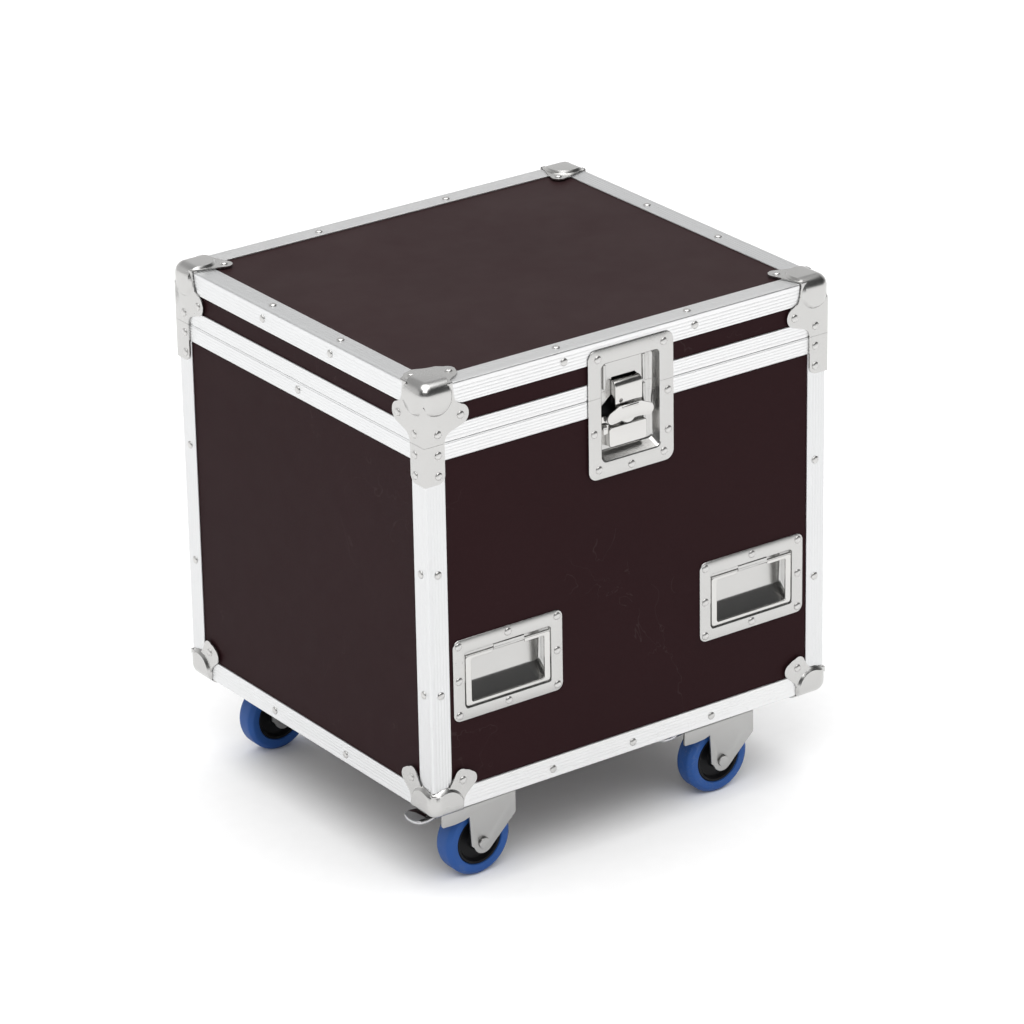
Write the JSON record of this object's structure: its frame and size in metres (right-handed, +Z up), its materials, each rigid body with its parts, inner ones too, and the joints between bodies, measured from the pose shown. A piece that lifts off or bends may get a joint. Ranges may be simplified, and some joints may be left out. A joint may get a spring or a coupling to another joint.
{
  "type": "equipment case",
  "caption": "Hard flight case with hinged lid, aluminium edge profiles, ball corners, recessed butterfly latch, bail handles and swivel casters.",
  "frame": {"origin": "centre of the bounding box's underside, on the floor under the four wheels", "axes": "+Z up; the front with the latch and handles faces -Y; the casters rest trailing towards -X"},
  "size_m": [0.651, 0.581, 0.7205],
  "materials": {
    "phenolic_plywood": "satin phenolic film, dark brown",
    "aluminium": "bright anodised, fine lengthways ribs",
    "plated_steel": "nickel-plated pressed steel, satin to polished",
    "hinge_steel": "zinc-plated, satin",
    "zinc_steel": "zinc-plated pressed steel",
    "blue_rubber": "matte blue elastic rubber",
    "black_nylon": "matte black"
  },
  "bodies": {
    "base": {"bottom_edge_frame": "aluminium", "base_closing_frame": "aluminium", "corner_profile_front_left": "aluminium", "corner_profile_front_right": "aluminium", "corner_profile_rear_left": "aluminium", "corner_profile_rear_right": "aluminium", "base_front_panel": "phenolic_plywood", "base_back_panel": "phenolic_plywood", "base_left_panel": "phenolic_plywood", "base_right_panel": "phenolic_plywood", "base_floor_panel": "phenolic_plywood", "base_ball_corner_front_left": "plated_steel", "base_ball_corner_front_right": "plated_steel", "base_ball_corner_rear_left": "plated_steel", "base_ball_corner_rear_right": "plated_steel", "corner_brace_front_left": "plated_steel", "corner_brace_front_right": "plated_steel", "corner_brace_rear_left": "plated_steel", "corner_brace_rear_right": "plated_steel", "handle_dish_left": "plated_steel", "handle_dish_right": "plated_steel", "latch_dish_lower": "plated_steel", "hinge_base_leaf": "hinge_steel", "hinge_pin": "hinge_steel", "caster_plate_front_left": "zinc_steel", "caster_plate_front_right": "zinc_steel", "caster_plate_rear_left": "zinc_steel", "caster_plate_rear_right": "zinc_steel"},
    "lid": {"top_edge_frame": "aluminium", "lid_closing_frame": "aluminium", "lid_top_panel": "phenolic_plywood", "lid_front_panel": "phenolic_plywood", "lid_back_panel": "phenolic_plywood", "lid_left_panel": "phenolic_plywood", "lid_right_panel": "phenolic_plywood", "lid_ball_corner_front_left": "plated_steel", "lid_ball_corner_front_right": "plated_steel", "lid_ball_corner_rear_left": "plated_steel", "lid_ball_corner_rear_right": "plated_steel", "latch_dish_upper": "plated_steel", "hinge_lid_leaf": "hinge_steel"},
    "latch_hook": {"latch_hook": "plated_steel"},
    "latch_knob": {"latch_knob": "plated_steel"},
    "latch_wing": {"latch_wing": "plated_steel"},
    "handle_bail_left": {"handle_bail_left": "plated_steel"},
    "handle_bail_right": {"handle_bail_right": "plated_steel"},
    "caster_fork_front_left": {"caster_fork_front_left": "zinc_steel"},
    "wheel_front_left": {"wheel_core_front_left": "black_nylon", "tyre_front_left": "blue_rubber"},
    "caster_fork_front_right": {"caster_fork_front_right": "zinc_steel"},
    "wheel_front_right": {"wheel_core_front_right": "black_nylon", "tyre_front_right": "blue_rubber"},
    "caster_fork_rear_left": {"caster_fork_rear_left": "zinc_steel"},
    "wheel_rear_left": {"wheel_core_rear_left": "black_nylon", "tyre_rear_left": "blue_rubber"},
    "caster_fork_rear_right": {"caster_fork_rear_right": "zinc_steel"},
    "wheel_rear_right": {"wheel_core_rear_right": "black_nylon", "tyre_rear_right": "blue_rubber"},
    "brake_pedal_front_left": {"brake_pedal_front_left": "zinc_steel"},
    "brake_pedal_front_right": {"brake_pedal_front_right": "zinc_steel"}
  },
  "joints": [
    {"name": "lid_hinge", "type": "hinge", "parent": "base", "child": "lid", "pos_m": [0, 0.2878, 0.638], "axis": [-1, 0, 0], "range_deg": [0, 110]},
    {"name": "latch_knob_turn", "type": "hinge", "parent": "base", "child": "latch_knob", "pos_m": [0, -0.2868, 0.603], "axis": [0, 1, 0], "range_deg": [0, 180]},
    {"name": "latch_hook_slide", "type": "slide", "parent": "base", "child": "latch_hook", "axis": [0, 0, 1], "range_m": [0, 0.008]},
    {"name": "latch_wing_fold", "type": "hinge", "parent": "latch_knob", "child": "latch_wing", "pos_m": [0, -0.2846, 0.6155], "axis": [-1, 0, 0], "range_deg": [0, 90]},
    {"name": "handle_bail_left_swing", "type": "hinge", "parent": "base", "child": "handle_bail_left", "pos_m": [-0.198, -0.2828, 0.337], "axis": [-1, 0, 0], "range_deg": [0, 90]},
    {"name": "handle_bail_right_swing", "type": "hinge", "parent": "base", "child": "handle_bail_right", "pos_m": [0.198, -0.2828, 0.337], "axis": [-1, 0, 0], "range_deg": [0, 90]},
    {"name": "caster_swivel_front_left", "type": "hinge", "parent": "base", "child": "caster_fork_front_left", "pos_m": [-0.197, -0.235, 0.114], "axis": [0, 0, 1], "continuous": true},
    {"name": "wheel_spin_front_left", "type": "hinge", "parent": "caster_fork_front_left", "child": "wheel_front_left", "pos_m": [-0.225, -0.235, 0.05], "axis": [0, 1, 0], "continuous": true},
    {"name": "caster_swivel_front_right", "type": "hinge", "parent": "base", "child": "caster_fork_front_right", "pos_m": [0.197, -0.235, 0.114], "axis": [0, 0, 1], "continuous": true},
    {"name": "wheel_spin_front_right", "type": "hinge", "parent": "caster_fork_front_right", "child": "wheel_front_right", "pos_m": [0.169, -0.235, 0.05], "axis": [0, 1, 0], "continuous": true},
    {"name": "caster_swivel_rear_left", "type": "hinge", "parent": "base", "child": "caster_fork_rear_left", "pos_m": [-0.197, 0.235, 0.114], "axis": [0, 0, 1], "continuous": true},
    {"name": "wheel_spin_rear_left", "type": "hinge", "parent": "caster_fork_rear_left", "child": "wheel_rear_left", "pos_m": [-0.225, 0.235, 0.05], "axis": [0, 1, 0], "continuous": true},
    {"name": "caster_swivel_rear_right", "type": "hinge", "parent": "base", "child": "caster_fork_rear_right", "pos_m": [0.197, 0.235, 0.114], "axis": [0, 0, 1], "continuous": true},
    {"name": "wheel_spin_rear_right", "type": "hinge", "parent": "caster_fork_rear_right", "child": "wheel_rear_right", "pos_m": [0.169, 0.235, 0.05], "axis": [0, 1, 0], "continuous": true},
    {"name": "brake_pedal_front_left_press", "type": "hinge", "parent": "caster_fork_front_left", "child": "brake_pedal_front_left", "pos_m": [-0.285, -0.235, 0.1045], "axis": [0, -1, 0], "range_deg": [0, 15]},
    {"name": "brake_pedal_front_right_press", "type": "hinge", "parent": "caster_fork_front_right", "child": "brake_pedal_front_right", "pos_m": [0.109, -0.235, 0.1045], "axis": [0, -1, 0], "range_deg": [0, 15]}
  ],
  "couplings": [
    {"joint": "latch_hook_slide", "follows": "latch_knob_turn", "m_per_rad": 0.0025465}
  ]
}
